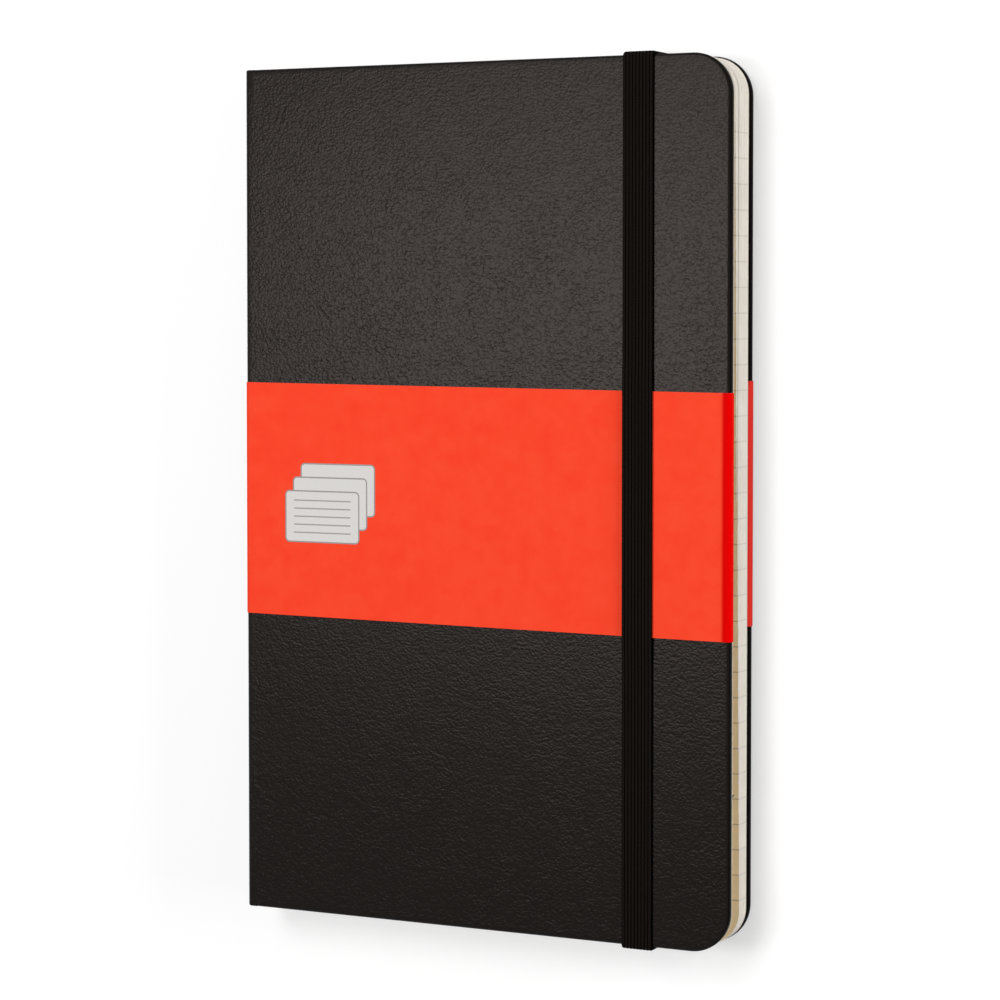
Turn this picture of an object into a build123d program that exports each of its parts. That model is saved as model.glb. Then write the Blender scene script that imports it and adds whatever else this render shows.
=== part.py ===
"""Address book: a hard case with stepped A to Z leaves, an elastic strap and a paper band.

Sizes are in millimetres. The closed book lies on its back. X runs from spine to fore edge, Y from tail to
head, Z from back cover to front cover. The origin is under the middle of the book, on what it lies on.
"""

import os
from string import ascii_lowercase

from build123d import *

os.makedirs("parts", exist_ok=True)

# Case
COVER_WIDTH = 130.0
COVER_HEIGHT = 210.0
CORNER_RADIUS = 9.7
EDGE_RADIUS = 0.8
LEATHER = 0.3
BOARD = 1.66
SPINE_BOARD = 1.4
ENDPAPER = 0.2
TURN_IN = 12.0
TURN_IN_CORNER = 3.0
BORDER = 3.5
GLUE = 0.02

# Hinges between spine and covers
HINGE_RADIUS = 1.25
HINGE_GAP = 0.1

# Leaves
AIR = 0.02
LETTER = 0.13
BACK_LEAVES = 4.1
FORE_SQUARE = 0.1
HEAD_SQUARE = 0.5
LEAF_CORNER = 8.7
FLYLEAF_TRIM = 0.2
HOLLOW_BACK = 0.6
TAB_DEPTH = 5.0
TAB_MARGIN = 0.4
TAB_ROUND = 1.5
TAB_ROOT = 0.8
LETTERS_TURNED = 13

# Sewing thread
THREAD = 0.3
THREAD_CLEARANCE = 0.05
STITCH = 26.0
STITCH_GAP = 10.0
STITCHES = 5

# Ribbon bookmark
RIBBON = 0.18
RIBBON_WIDTH = 5.0
RIBBON_FROM_SPINE = 6.0
RIBBON_HEAD_INSET = 2.0
RIBBON_TAIL_INSET = 8.0
RIBBON_FOLD = 70.0

# Pocket
POCKET_CARD = 0.35
POCKET_ROOM = 0.3
POCKET_INSET = 5.0
POCKET_MOUTH = 6.0
POCKET_LIP = 9.0
GUSSET = 0.12
GUSSET_WIDTH = 11.0
GUSSET_INSET = 2.0

# Strap
STRAP = 0.8
STRAP_WIDTH = 7.7
STRAP_FROM_FORE = 23.1
STRAP_BEND = 0.9
STRAP_CLEARANCE = 0.05
STRAND_INSET = 8.0
SLIT_INSET = 6.0
SLIT_RUN = 1.6
TAIL_LENGTH = 20.0
TAIL_BEND = 0.55

# Paper band
BAND = 0.2
BAND_WIDTH = 57.9
BAND_CENTRE = -2.3
BAND_BEND = 0.6
BAND_FLAP = 45.0

half_height = COVER_HEIGHT / 2
fore_x = COVER_WIDTH / 2
spine_x = -COVER_WIDTH / 2
hinge_x = spine_x + HINGE_RADIUS
hinge_reach = HINGE_RADIUS + HINGE_GAP
cover_x = hinge_x + hinge_reach

# Depths of the cover layers below its outer face
board_near = LEATHER + GLUE
board_far = board_near + BOARD
turn_in_near = board_far + GLUE
leather_far = turn_in_near + LEATHER
cover_depth = leather_far + ENDPAPER

# Heights from the back of the band to the front of the book
letter_pitch = LETTER + AIR
letters_kept = len(ascii_lowercase) - LETTERS_TURNED
back_outer = BAND
back_inner = back_outer + cover_depth
pocket_low = back_inner + POCKET_ROOM
pocket_high = pocket_low + POCKET_CARD
back_flap_low = pocket_high + AIR
back_flyleaf_low = back_flap_low + BAND + AIR
back_leaves_low = back_flyleaf_low + ENDPAPER + AIR
kept_low = back_leaves_low + BACK_LEAVES + AIR
ribbon_low = kept_low + letters_kept * letter_pitch
axis_z = ribbon_low + 2 * (RIBBON + AIR)
turned_low = axis_z + AIR
front_flyleaf_low = turned_low + LETTERS_TURNED * letter_pitch
front_flap_low = front_flyleaf_low + ENDPAPER + AIR
front_inner = front_flap_low + BAND + AIR
front_outer = front_inner + cover_depth
back_hinge_z = back_outer + HINGE_RADIUS
front_hinge_z = front_outer - HINGE_RADIUS

# Leaf edges; the leaves turn about the thread that holds them
spine_inner = spine_x + LEATHER + GLUE + SPINE_BOARD + GLUE + LEATHER
axis_x = spine_inner + HOLLOW_BACK
leaf_spine_x = axis_x + THREAD / 2 + THREAD_CLEARANCE
leaf_fore_x = fore_x - FORE_SQUARE
leaf_height = COVER_HEIGHT - 2 * HEAD_SQUARE
tabs_top = leaf_height / 2 - LEAF_CORNER - TAB_MARGIN
tab_pitch = 2 * tabs_top / len(ascii_lowercase)

strap_x = fore_x - STRAP_FROM_FORE
band_head = BAND_CENTRE + BAND_WIDTH / 2

FRONT = (front_outer, -1)
BACK = (back_outer, 1)


def save(part, name):
    """Export a finished piece under its name."""
    part.label = name
    export_step(part, f"parts/{name}.step")


def layer(cover, near, far):
    """Low and high level of a cover layer that lies from near to far below the outer face."""
    outer, inward = cover
    return sorted((outer + inward * near, outer + inward * far))


def plate(start_x, end_x, height, corner, levels, edge=0.0):
    """A plate, square at the spine and rounded at the fore-edge corners, its three free rims rounded too."""
    low, high = levels
    with BuildPart() as blank:
        with BuildSketch(Plane.XY.offset(low)) as outline:
            with Locations(((start_x + end_x) / 2, 0)):
                Rectangle(end_x - start_x, height)
            fillet(outline.vertices().group_by(Axis.X)[-1], corner)
        extrude(amount=high - low)
        if edge:
            rims = blank.faces().filter_by(Axis.Z).edges()
            fillet(rims.filter_by(lambda rim: rim.center().X > start_x + GLUE), edge)
    return blank.part


def cover_plate(inset, levels, edge=0.0):
    """A plate of the cover's outline, drawn in by an inset."""
    height = COVER_HEIGHT - 2 * inset
    return plate(cover_x, fore_x - inset, height, CORNER_RADIUS - inset, levels, edge)


def turn_in_opening(cover, slack):
    """The opening between the turned-in rims of a cover, or less slack the card that fills it."""
    inset = TURN_IN + slack
    levels = layer(cover, turn_in_near, leather_far)
    return plate(cover_x, fore_x - inset, COVER_HEIGHT - 2 * inset, TURN_IN_CORNER, levels)


def board_blank(cover, slack):
    """The board of a cover, or with slack the room it needs."""
    levels = layer(cover, board_near - slack, board_far + slack)
    return cover_plate(board_near - slack, levels, EDGE_RADIUS - board_near + slack)


def leather_skin(cover):
    """The leatherette of a cover: outer face, edges and the turned-in rim."""
    with BuildPart() as skin:
        add(cover_plate(0, layer(cover, 0, leather_far), EDGE_RADIUS))
        add(board_blank(cover, GLUE), mode=Mode.SUBTRACT)
        add(turn_in_opening(cover, 0), mode=Mode.SUBTRACT)
    return skin.part


def pastedown(cover):
    """The endpaper glued inside a cover, with the card that levels the turn-ins."""
    with BuildPart() as sheet:
        add(cover_plate(BORDER, layer(cover, leather_far, cover_depth)))
        add(turn_in_opening(cover, GLUE))
    return sheet.part


def strap_path(side, points, bend, slack):
    """A strap solid along (y, z) points at the head (side 1) or tail (side -1), or with slack its room."""
    with BuildPart() as strap:
        with BuildSketch(Plane.YZ.offset(strap_x - STRAP_WIDTH / 2 - slack)) as section:
            with BuildLine() as path:
                FilletPolyline([(side * y, z) for y, z in points], radius=bend)
            trace(path.line, line_width=STRAP + 2 * slack)
        extrude(amount=STRAP_WIDTH + 2 * slack)
    return strap.part


# Strap heights and paths
strand_z = front_outer + BAND + AIR + STRAP / 2
stub_z = back_outer + STRAP / 2
tail_z = back_outer + board_far - STRAP / 2
wrap_y = half_height + STRAP_CLEARANCE + STRAP / 2
slit_y = half_height - SLIT_INSET
rise_y = slit_y - SLIT_RUN
wrap_points = [
    (half_height - STRAND_INSET, strand_z),
    (wrap_y, strand_z),
    (wrap_y, stub_z),
    (slit_y, stub_z),
]
tail_points = [
    (slit_y, stub_z),
    (rise_y, stub_z),
    (rise_y, tail_z),
    (rise_y - TAIL_LENGTH, tail_z),
]

with BuildPart() as strap_room:
    for side in (1, -1):
        add(strap_path(side, wrap_points, STRAP_BEND, STRAP_CLEARANCE))
        add(strap_path(side, tail_points, TAIL_BEND, STRAP_CLEARANCE))

# Front cover
with BuildPart() as front_board:
    add(board_blank(FRONT, 0))
save(front_board.part, "front_board")

with BuildPart() as front_leatherette:
    add(leather_skin(FRONT))
save(front_leatherette.part, "front_leatherette")

with BuildPart() as front_pastedown:
    add(pastedown(FRONT))
save(front_pastedown.part, "front_pastedown")

# Back cover, cut for the strap
with BuildPart() as back_board:
    add(board_blank(BACK, 0))
    add(strap_room.part, mode=Mode.SUBTRACT)
save(back_board.part, "back_board")

with BuildPart() as back_leatherette:
    add(leather_skin(BACK))
    add(strap_room.part, mode=Mode.SUBTRACT)
save(back_leatherette.part, "back_leatherette")

with BuildPart() as back_pastedown:
    add(pastedown(BACK))
save(back_pastedown.part, "back_pastedown")

# Spine
spine_low = back_hinge_z + hinge_reach
spine_high = front_hinge_z - hinge_reach
spine_board_near = spine_x + LEATHER + GLUE
spine_board_far = spine_board_near + SPINE_BOARD

with BuildPart() as spine_board:
    with BuildSketch(Plane.XY.offset(spine_low)):
        with Locations(((spine_board_near + spine_board_far) / 2, 0)):
            Rectangle(SPINE_BOARD, COVER_HEIGHT - 2 * board_near)
    extrude(amount=spine_high - spine_low)
save(spine_board.part, "spine_board")

with BuildPart() as spine_leatherette:
    with BuildSketch(Plane.XY.offset(spine_low)):
        with Locations(((spine_x + spine_inner) / 2, 0)):
            Rectangle(spine_inner - spine_x, COVER_HEIGHT)
        with Locations(((spine_board_near + spine_board_far) / 2, 0)):
            Rectangle(SPINE_BOARD + 2 * GLUE, COVER_HEIGHT - 2 * LEATHER, mode=Mode.SUBTRACT)
        with Locations((spine_inner, 0)):
            Rectangle(2 * (LEATHER + GLUE), COVER_HEIGHT - 2 * TURN_IN, mode=Mode.SUBTRACT)
    extrude(amount=spine_high - spine_low)
save(spine_leatherette.part, "spine_leatherette")

with BuildPart() as spine_lining:
    with BuildSketch(Plane.XY.offset(spine_low)):
        with Locations((spine_board_far + GLUE + ENDPAPER / 2, 0)):
            Rectangle(ENDPAPER, COVER_HEIGHT - 2 * (TURN_IN + GLUE))
    extrude(amount=spine_high - spine_low)
save(spine_lining.part, "spine_lining")

# Hinges: the bare leatherette round each spine corner, centred on the hinge line
skin_radius = HINGE_RADIUS - LEATHER / 2

with BuildPart() as front_hinge:
    with BuildSketch(Plane.XZ.offset(-half_height)):
        with BuildLine() as front_bend:
            Line((cover_x, front_outer - LEATHER / 2), (hinge_x, front_outer - LEATHER / 2))
            CenterArc((hinge_x, front_hinge_z), skin_radius, 90, 90)
            Line((spine_x + LEATHER / 2, front_hinge_z), (spine_x + LEATHER / 2, spine_high))
        trace(front_bend.line, line_width=LEATHER)
    extrude(amount=COVER_HEIGHT)
save(front_hinge.part, "front_hinge")

with BuildPart() as back_hinge:
    with BuildSketch(Plane.XZ.offset(-half_height)):
        with BuildLine() as back_bend:
            Line((spine_x + LEATHER / 2, spine_low), (spine_x + LEATHER / 2, back_hinge_z))
            CenterArc((hinge_x, back_hinge_z), skin_radius, 180, 90)
            Line((hinge_x, back_outer + LEATHER / 2), (cover_x, back_outer + LEATHER / 2))
        trace(back_bend.line, line_width=LEATHER)
    extrude(amount=COVER_HEIGHT)
save(back_hinge.part, "back_hinge")

# Leaves that keep their full width


def full_leaf(low, thickness, trim=0.0):
    """Leaves of the full page outline, trimmed at the fore edge."""
    return plate(leaf_spine_x, leaf_fore_x - trim, leaf_height, LEAF_CORNER, (low, low + thickness))


with BuildPart() as front_flyleaf:
    add(full_leaf(front_flyleaf_low, ENDPAPER, FLYLEAF_TRIM))
save(front_flyleaf.part, "front_flyleaf")

with BuildPart() as back_flyleaf:
    add(full_leaf(back_flyleaf_low, ENDPAPER))
save(back_flyleaf.part, "back_flyleaf")

with BuildPart() as back_leaves:
    add(full_leaf(back_leaves_low, BACK_LEAVES))
save(back_leaves.part, "back_leaves")

# Sections A to Z from the front, each cut back below its own tab
for index, letter in enumerate(ascii_lowercase):
    if index < LETTERS_TURNED:
        section_low = turned_low + (LETTERS_TURNED - 1 - index) * letter_pitch
    else:
        section_low = kept_low + (len(ascii_lowercase) - 1 - index) * letter_pitch
    tab_foot = tabs_top - (index + 1) * tab_pitch
    cut_height = tab_foot + half_height
    with BuildPart() as section:
        with BuildSketch(Plane.XY.offset(section_low)) as page:
            with Locations(((leaf_spine_x + leaf_fore_x) / 2, 0)):
                Rectangle(leaf_fore_x - leaf_spine_x, leaf_height)
            fillet(page.vertices().group_by(Axis.X)[-1], LEAF_CORNER)
            with Locations((leaf_fore_x, tab_foot - cut_height / 2)):
                Rectangle(2 * TAB_DEPTH, cut_height, mode=Mode.SUBTRACT)
            foot = page.vertices().filter_by_position(Axis.Y, tab_foot - AIR, tab_foot + AIR)
            fillet(foot.sort_by(Axis.X)[0], TAB_ROOT)
            foot = page.vertices().filter_by_position(Axis.Y, tab_foot - AIR, tab_foot + AIR)
            fillet(foot.sort_by(Axis.X)[-1], TAB_ROUND)
        extrude(amount=LETTER)
    save(section.part, f"section_{letter}")

# Sewing thread, on the line that the leaves turn about
with BuildPart() as sewing_thread:
    for stitch in range(STITCHES):
        stitch_head = STITCH / 2 + (stitch - (STITCHES - 1) / 2) * (STITCH + STITCH_GAP)
        with BuildSketch(Plane.XZ.offset(-stitch_head)) as strand:
            with Locations((axis_x, axis_z)):
                Circle(THREAD / 2)
        extrude(strand.sketch, amount=STITCH)
save(sewing_thread.part, "sewing_thread")

# Ribbon bookmark, doubled up at the tail
ribbon_x = leaf_spine_x + RIBBON_FROM_SPINE
ribbon_head = leaf_height / 2 - RIBBON_HEAD_INSET
ribbon_tail = RIBBON_TAIL_INSET - leaf_height / 2
ribbon_top = ribbon_low + 2 * RIBBON + AIR

with BuildPart() as bookmark_ribbon:
    with BuildSketch(Plane.YZ.offset(ribbon_x)):
        with BuildLine():
            Polyline(
                (ribbon_head, ribbon_low),
                (ribbon_tail, ribbon_low),
                (ribbon_tail, ribbon_top),
                (ribbon_tail + RIBBON_FOLD, ribbon_top),
                (ribbon_tail + RIBBON_FOLD, ribbon_top - RIBBON),
                (ribbon_tail + RIBBON, ribbon_top - RIBBON),
                (ribbon_tail + RIBBON, ribbon_low + RIBBON),
                (ribbon_head, ribbon_low + RIBBON),
                close=True,
            )
        make_face()
    extrude(amount=RIBBON_WIDTH)
save(bookmark_ribbon.part, "bookmark_ribbon")

# Pocket inside the back cover: a card with a glued lip, and a folded cloth gusset at head and tail
pocket_mouth_x = cover_x + POCKET_MOUTH
pocket_fore_x = fore_x - POCKET_INSET
pocket_height = COVER_HEIGHT - 2 * POCKET_INSET
pocket_corner = CORNER_RADIUS - POCKET_INSET

with BuildPart() as pocket_panel:
    add(plate(pocket_mouth_x, pocket_fore_x, pocket_height, pocket_corner, (pocket_low, pocket_high)))
    lip_levels = (back_inner, pocket_low)
    add(plate(pocket_fore_x - POCKET_LIP, pocket_fore_x, pocket_height, pocket_corner, lip_levels))
save(pocket_panel.part, "pocket_panel")


def gusset(side):
    """A strip of cloth folded once along X, its fold towards the middle of the pocket."""
    edge_y = pocket_height / 2 - GUSSET_INSET
    fold_y = edge_y - GUSSET_WIDTH
    lower = back_inner + AIR
    upper = pocket_low - AIR
    with BuildPart() as cloth:
        with BuildSketch(Plane.YZ.offset(pocket_mouth_x)):
            with BuildLine():
                Polyline(
                    (side * edge_y, lower),
                    (side * fold_y, lower),
                    (side * fold_y, upper),
                    (side * edge_y, upper),
                    (side * edge_y, upper - GUSSET),
                    (side * (fold_y + GUSSET), upper - GUSSET),
                    (side * (fold_y + GUSSET), lower + GUSSET),
                    (side * edge_y, lower + GUSSET),
                    close=True,
                )
            make_face()
        extrude(amount=pocket_fore_x - POCKET_LIP - AIR - pocket_mouth_x)
    return cloth.part


with BuildPart() as pocket_gusset_head:
    add(gusset(1))
save(pocket_gusset_head.part, "pocket_gusset_head")

with BuildPart() as pocket_gusset_tail:
    add(gusset(-1))
save(pocket_gusset_tail.part, "pocket_gusset_tail")

# Strap: strand over the front, wraps round head and tail, ends anchored in the back board
with BuildPart() as strap_strand:
    with BuildSketch(Plane.XY.offset(strand_z - STRAP / 2)):
        with Locations((strap_x, 0)):
            Rectangle(STRAP_WIDTH, COVER_HEIGHT - 2 * STRAND_INSET)
    extrude(amount=STRAP)
save(strap_strand.part, "strap_strand")

with BuildPart() as strap_head_wrap:
    add(strap_path(1, wrap_points, STRAP_BEND, 0))
save(strap_head_wrap.part, "strap_head_wrap")

with BuildPart() as strap_tail_wrap:
    add(strap_path(-1, wrap_points, STRAP_BEND, 0))
save(strap_tail_wrap.part, "strap_tail_wrap")

with BuildPart() as strap_ends:
    add(strap_path(1, tail_points, TAIL_BEND, 0))
    add(strap_path(-1, tail_points, TAIL_BEND, 0))
save(strap_ends.part, "strap_ends")

# Paper band: a panel on each cover with its flap tucked in, and a spine panel with both creases
band_out_x = fore_x + BAND / 2
flap_x = fore_x - BAND_FLAP

with BuildPart() as band_front:
    with BuildSketch(Plane.XZ.offset(-band_head)):
        with BuildLine() as front_wrap:
            FilletPolyline(
                (cover_x, front_outer + BAND / 2),
                (band_out_x, front_outer + BAND / 2),
                (band_out_x, front_flap_low + BAND / 2),
                (flap_x, front_flap_low + BAND / 2),
                radius=BAND_BEND,
            )
        trace(front_wrap.line, line_width=BAND)
    extrude(amount=BAND_WIDTH)
save(band_front.part, "band_front")

with BuildPart() as band_back:
    with BuildSketch(Plane.XZ.offset(-band_head)):
        with BuildLine() as back_wrap:
            FilletPolyline(
                (cover_x, BAND / 2),
                (band_out_x, BAND / 2),
                (band_out_x, back_flap_low + BAND / 2),
                (flap_x, back_flap_low + BAND / 2),
                radius=BAND_BEND,
            )
        trace(back_wrap.line, line_width=BAND)
    extrude(amount=BAND_WIDTH)
save(band_back.part, "band_back")

crease_radius = HINGE_RADIUS + BAND / 2
band_spine_x = spine_x - BAND / 2

with BuildPart() as band_spine:
    with BuildSketch(Plane.XZ.offset(-band_head)):
        with BuildLine() as spine_wrap:
            Line((cover_x, front_outer + BAND / 2), (hinge_x, front_outer + BAND / 2))
            CenterArc((hinge_x, front_hinge_z), crease_radius, 90, 90)
            Line((band_spine_x, front_hinge_z), (band_spine_x, back_hinge_z))
            CenterArc((hinge_x, back_hinge_z), crease_radius, 180, 90)
            Line((hinge_x, BAND / 2), (cover_x, BAND / 2))
        trace(spine_wrap.line, line_width=BAND)
    extrude(amount=BAND_WIDTH)
save(band_spine.part, "band_spine")
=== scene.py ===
"""Looks of the address book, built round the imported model.

Shapes are worked out in millimetres, in the model's own frame: X from spine to fore edge,
Y from tail to head, Z from back cover to front cover. Meshes are written in metres.
"""

import math
from string import ascii_lowercase

import bmesh
import bpy
import numpy as np
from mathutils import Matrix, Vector


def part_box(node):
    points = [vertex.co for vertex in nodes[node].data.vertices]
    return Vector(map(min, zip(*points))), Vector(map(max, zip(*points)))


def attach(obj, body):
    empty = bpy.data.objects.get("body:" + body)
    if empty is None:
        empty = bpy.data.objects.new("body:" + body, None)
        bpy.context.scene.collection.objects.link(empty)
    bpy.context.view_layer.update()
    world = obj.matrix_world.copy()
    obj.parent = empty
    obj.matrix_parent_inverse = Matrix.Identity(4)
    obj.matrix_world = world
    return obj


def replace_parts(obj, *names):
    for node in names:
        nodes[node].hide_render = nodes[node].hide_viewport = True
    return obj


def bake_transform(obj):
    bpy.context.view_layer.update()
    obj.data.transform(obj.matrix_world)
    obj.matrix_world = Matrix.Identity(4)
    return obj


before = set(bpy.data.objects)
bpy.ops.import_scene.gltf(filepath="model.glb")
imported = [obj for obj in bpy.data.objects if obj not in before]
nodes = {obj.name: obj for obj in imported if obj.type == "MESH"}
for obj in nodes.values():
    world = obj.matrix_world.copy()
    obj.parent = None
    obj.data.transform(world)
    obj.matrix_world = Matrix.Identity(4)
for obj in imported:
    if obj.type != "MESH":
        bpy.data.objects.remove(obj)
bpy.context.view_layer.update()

MM = 0.001

# Steps in a quarter turn of a bend
BEND_STEPS = 9

# Case: sizes in millimetres, the hinges' share of rub and their counts of points
LEATHER = 0.3
EDGE_RADIUS = 0.8
RUB_REACH = 1.5 * EDGE_RADIUS
CORNER_RADIUS = 9.7
TURN_IN = 12.0
TURN_IN_CORNER = 3.0
SPINE_END = 0.5
SPINE_RUB = 0.2
HINGE_RADIUS = 1.25
HINGE_END = 0.4
HINGE_RUB = 0.5
HINGE_END_STEPS = 7
HINGE_COLUMNS = 15

# Leaves and their rules
LEAF_CORNER = 8.7
LEAVES_PER_LETTER = 2
PLAIN_LEAVES = 34
LEAF_GAP = 0.012
TRIM = 0.12
RULE_PITCH = 6.0
RULE_START = 0.4
RULE_WIDTH = 0.22
RULED_MIDDLE = -3.0
RULED_HALF = 94.0

# Tabs, with the letter and a tan film over the paper: partly the tabs' printed tone, partly painted shade
# under the front cover
TAB_DEPTH = 5.0
TAB_ROUND = 1.5
TAB_ROOT = 0.8
TAB_MARGIN = 0.4
TAB_FILM_CLEAR = 0.001
TAB_FILM_TOP = 0.004
LETTER_SIZE = 3.6
LETTER_INSET = 3.1
LETTER_CLEAR = 0.008
LETTER_HALF = 0.003

# Sewing
THREAD_PITCH = 1.1
STITCH = 26.0
STITCH_GAP = 10.0
STITCHES = 5
THREAD_STEPS = 140
THREAD_SIDES = 7

# Strap and its channel in the back cover
STRAP = 0.8
STRAP_BEND = 0.9
STRAP_RIBS = 9
STRAP_STEPS = 160
RIB_POINTS = 6
RIB_GROOVE = 0.55
RIB_POWER = 0.6
SELVEDGE = 0.35
SELVEDGE_POWER = 14
STRAP_AIR = 0.03
STRAP_BRIDGE = 1.5
STRAP_FALL = 7.0
SLIT_INSET = 7.05
SLIT_MARGIN = 2.0
SLIT_TUCK = 0.3
CHANNEL_DEPTH = 0.85
CHANNEL_ROOM = 0.05
CHANNEL_WALL = 0.02

# Paper band: its folds, how far each half lies off the middle, its slack and the painted shade on the folds
BAND = 0.2
BAND_FOLD = 0.85
BAND_FLAP = 45.0
BAND_COLUMNS = 25
SAME_LEVEL = 1e-6
FINE_RUN = 5.0
OFF_AT_SPINE = 0.5
FRONT_OFF_AT_FORE = -0.5
BACK_OFF_AT_FORE = 2.0
SLACK = 0.10
SLACK_START = 8.0
SLACK_RISE = 6.0
SLACK_END = 2.0
SLACK_FALL = 5.0
FOLD_SHADE_START = 2.4
FOLD_SHADE_EASE = 1.0

# Printing on the band
CARD_PLACE = np.array([-43.0, -6.0])
CARD_SIZE = np.array([21.0, 13.0])
CARD_CORNER = 1.2
CARD_LINE = 0.35
CARD_STEP = np.array([2.2, 3.4])
CARD_LIFT = 0.008
CARD_RULES = 5
CARD_RULE = (16.0, 0.3, 0.1)
CARD_RULE_TOP = 4.0
CARD_RULE_PITCH = 2.0
CARD_RULE_INK = 0.004
INK = 0.003
INK_CLEAR = 0.002

# Ribbon and gussets
RIBBON = 0.18
RIBBON_FOLD = 70.0
RIBBON_COLUMNS = 9
GUSSET = 0.12
GUSSET_COLUMNS = 25

# Floor, light and camera: places in metres, turns in degrees, the lens in millimetres
FLOOR_REACH = 3.0
FLOOR_TONE = 0.65
GLOW_NEAR = 0.22
GLOW_FAR = 0.7
GLOW_LOW = 0.45
ROOM_LIGHT = 0.17
LAMP_AIM = Vector((0, 0, 0.01))
CAMERA_LENS = 104.891
CAMERA_SHIFT = -0.08
CAMERA_PLACE = (0.310709, 0.047144, 0.644206)
CAMERA_TURN = (-2.3144, 25.8573, 0.0)


def span(node):
    """Lowest and highest corner of a CAD node, in millimetres."""
    low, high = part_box(node)
    return np.array(low) / MM, np.array(high) / MM


front_low, front_high = span("front_leatherette")
back_low, _ = span("back_leatherette")
spine_low, spine_high = span("spine_leatherette")
strand_low, strand_high = span("strap_strand")
_, wrap_high = span("strap_head_wrap")
band_low, band_high = span("band_front")
under_low, under_high = span("band_back")

cover_x = front_low[0]
fore_x = front_high[0]
half_height = front_high[1]
skin_depth = front_high[2] - front_low[2]
hinge_x = spine_low[0] + HINGE_RADIUS
front_hinge_z = front_high[2] - HINGE_RADIUS
back_hinge_z = back_low[2] + HINGE_RADIUS
middle_z = (front_hinge_z + back_hinge_z) / 2
strap_x = (strand_low[0] + strand_high[0]) / 2
strap_width = strand_high[0] - strand_low[0]


# Curves and skins


def arc(centre, radius, start, end, steps=BEND_STEPS):
    """Points on a circle: centre + radius (cos a, sin a), with a in even steps from start to end degrees."""
    angle = np.radians(np.linspace(start, end, steps))
    return np.asarray(centre) + radius * np.stack([np.cos(angle), np.sin(angle)], axis=1)


def run(start, end, steps):
    """Points in even steps on the straight line between two points, the end one left out."""
    share = np.linspace(0, 1, steps, endpoint=False)[:, None]
    return np.asarray(start) * (1 - share) + np.asarray(end) * share


def ease_in_out(share):
    """A share held between 0 and 1 and eased at both ends: 3 s squared less 2 s cubed."""
    share = np.clip(share, 0, 1)
    return share ** 2 * (3 - 2 * share)


def path_normals(path):
    """Unit normals of a plane path: each point's direction of travel, turned a quarter to the left."""
    travel = np.gradient(path, axis=0)
    travel /= np.linalg.norm(travel, axis=1)[:, None]
    return np.stack([-travel[:, 1], travel[:, 0]], axis=1)


def path_length(path):
    """Length travelled along a path up to each of its points."""
    steps = np.linalg.norm(np.diff(path, axis=0), axis=1)
    return np.concatenate([[0], np.cumsum(steps)])


def grid_quads(rows, columns, wrap):
    """Quads of a grid of points numbered row by row; with wrap the last column joins the first."""
    index = np.arange(rows * columns).reshape(rows, columns)
    side = np.roll(index, -1, axis=1)
    if not wrap:
        index, side = index[:, :-1], side[:, :-1]
    return np.stack([index[:-1], side[:-1], side[1:], index[1:]], axis=-1).reshape(-1, 4)


def rim_quads(outer, inner):
    """Quads that join two rows of points of equal count."""
    return np.stack([outer[:-1], outer[1:], inner[1:], inner[:-1]], axis=-1)


def loft(rings):
    """A closed skin over rings of equal count: quads between them, and a lid on the first and the last."""
    rows, around = rings.shape[:2]
    last = (rows - 1) * around
    lids = [list(range(around)), list(range(last, last + around))]
    return rings.reshape(-1, 3), grid_quads(rows, around, True).tolist() + lids


def joined(skins):
    """Several skins as one: points end to end, and each skin's corners counted on from those before it."""
    points = []
    faces = []
    first = 0
    for corners, skin in skins:
        points.append(corners)
        faces += [[first + corner for corner in face] for face in skin]
        first += len(corners)
    return np.concatenate(points), faces


def prisms(outlines, lows, highs):
    """Plates that share no point: each plane outline at its low and high level, with walls and two lids."""
    plates = []
    for outline, low, high in zip(outlines, lows, highs):
        flat = np.broadcast_to(outline, (2, *outline.shape))
        levels = np.broadcast_to(np.array([low, high])[:, None, None], (2, len(outline), 1))
        plates.append(loft(np.concatenate([flat, levels], axis=2)))
    return joined(plates)


def thick_sheet(middle, normal, thickness):
    """A closed sheet: a grid of points moved half a thickness either way along its normals, joined by a rim.

    The faces come as outer side, inner side, then the rim of the two cut sides and of the two ends."""
    rows, columns = middle.shape[:2]
    points = np.concatenate([middle + normal * thickness / 2, middle - normal * thickness / 2])
    index = np.arange(2 * rows * columns).reshape(2, rows, columns)
    quads = grid_quads(rows, columns, False)
    sides = [rim_quads(index[0, :, column], index[1, :, column]) for column in (0, -1)]
    ends = [rim_quads(index[0, row], index[1, row]) for row in (0, -1)]
    faces = np.concatenate([quads, quads + rows * columns, *sides, *ends])
    kinds = np.repeat([0, 1, 2, 3], [len(quads), len(quads), 2 * (rows - 1), 2 * (columns - 1)])
    return points.reshape(-1, 3), faces.tolist(), kinds


def new_object(name, data):
    """An object in the scene that carries a mesh, a text, a lamp or a lens."""
    made = bpy.data.objects.new(name, data)
    bpy.context.scene.collection.objects.link(made)
    return made


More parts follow.
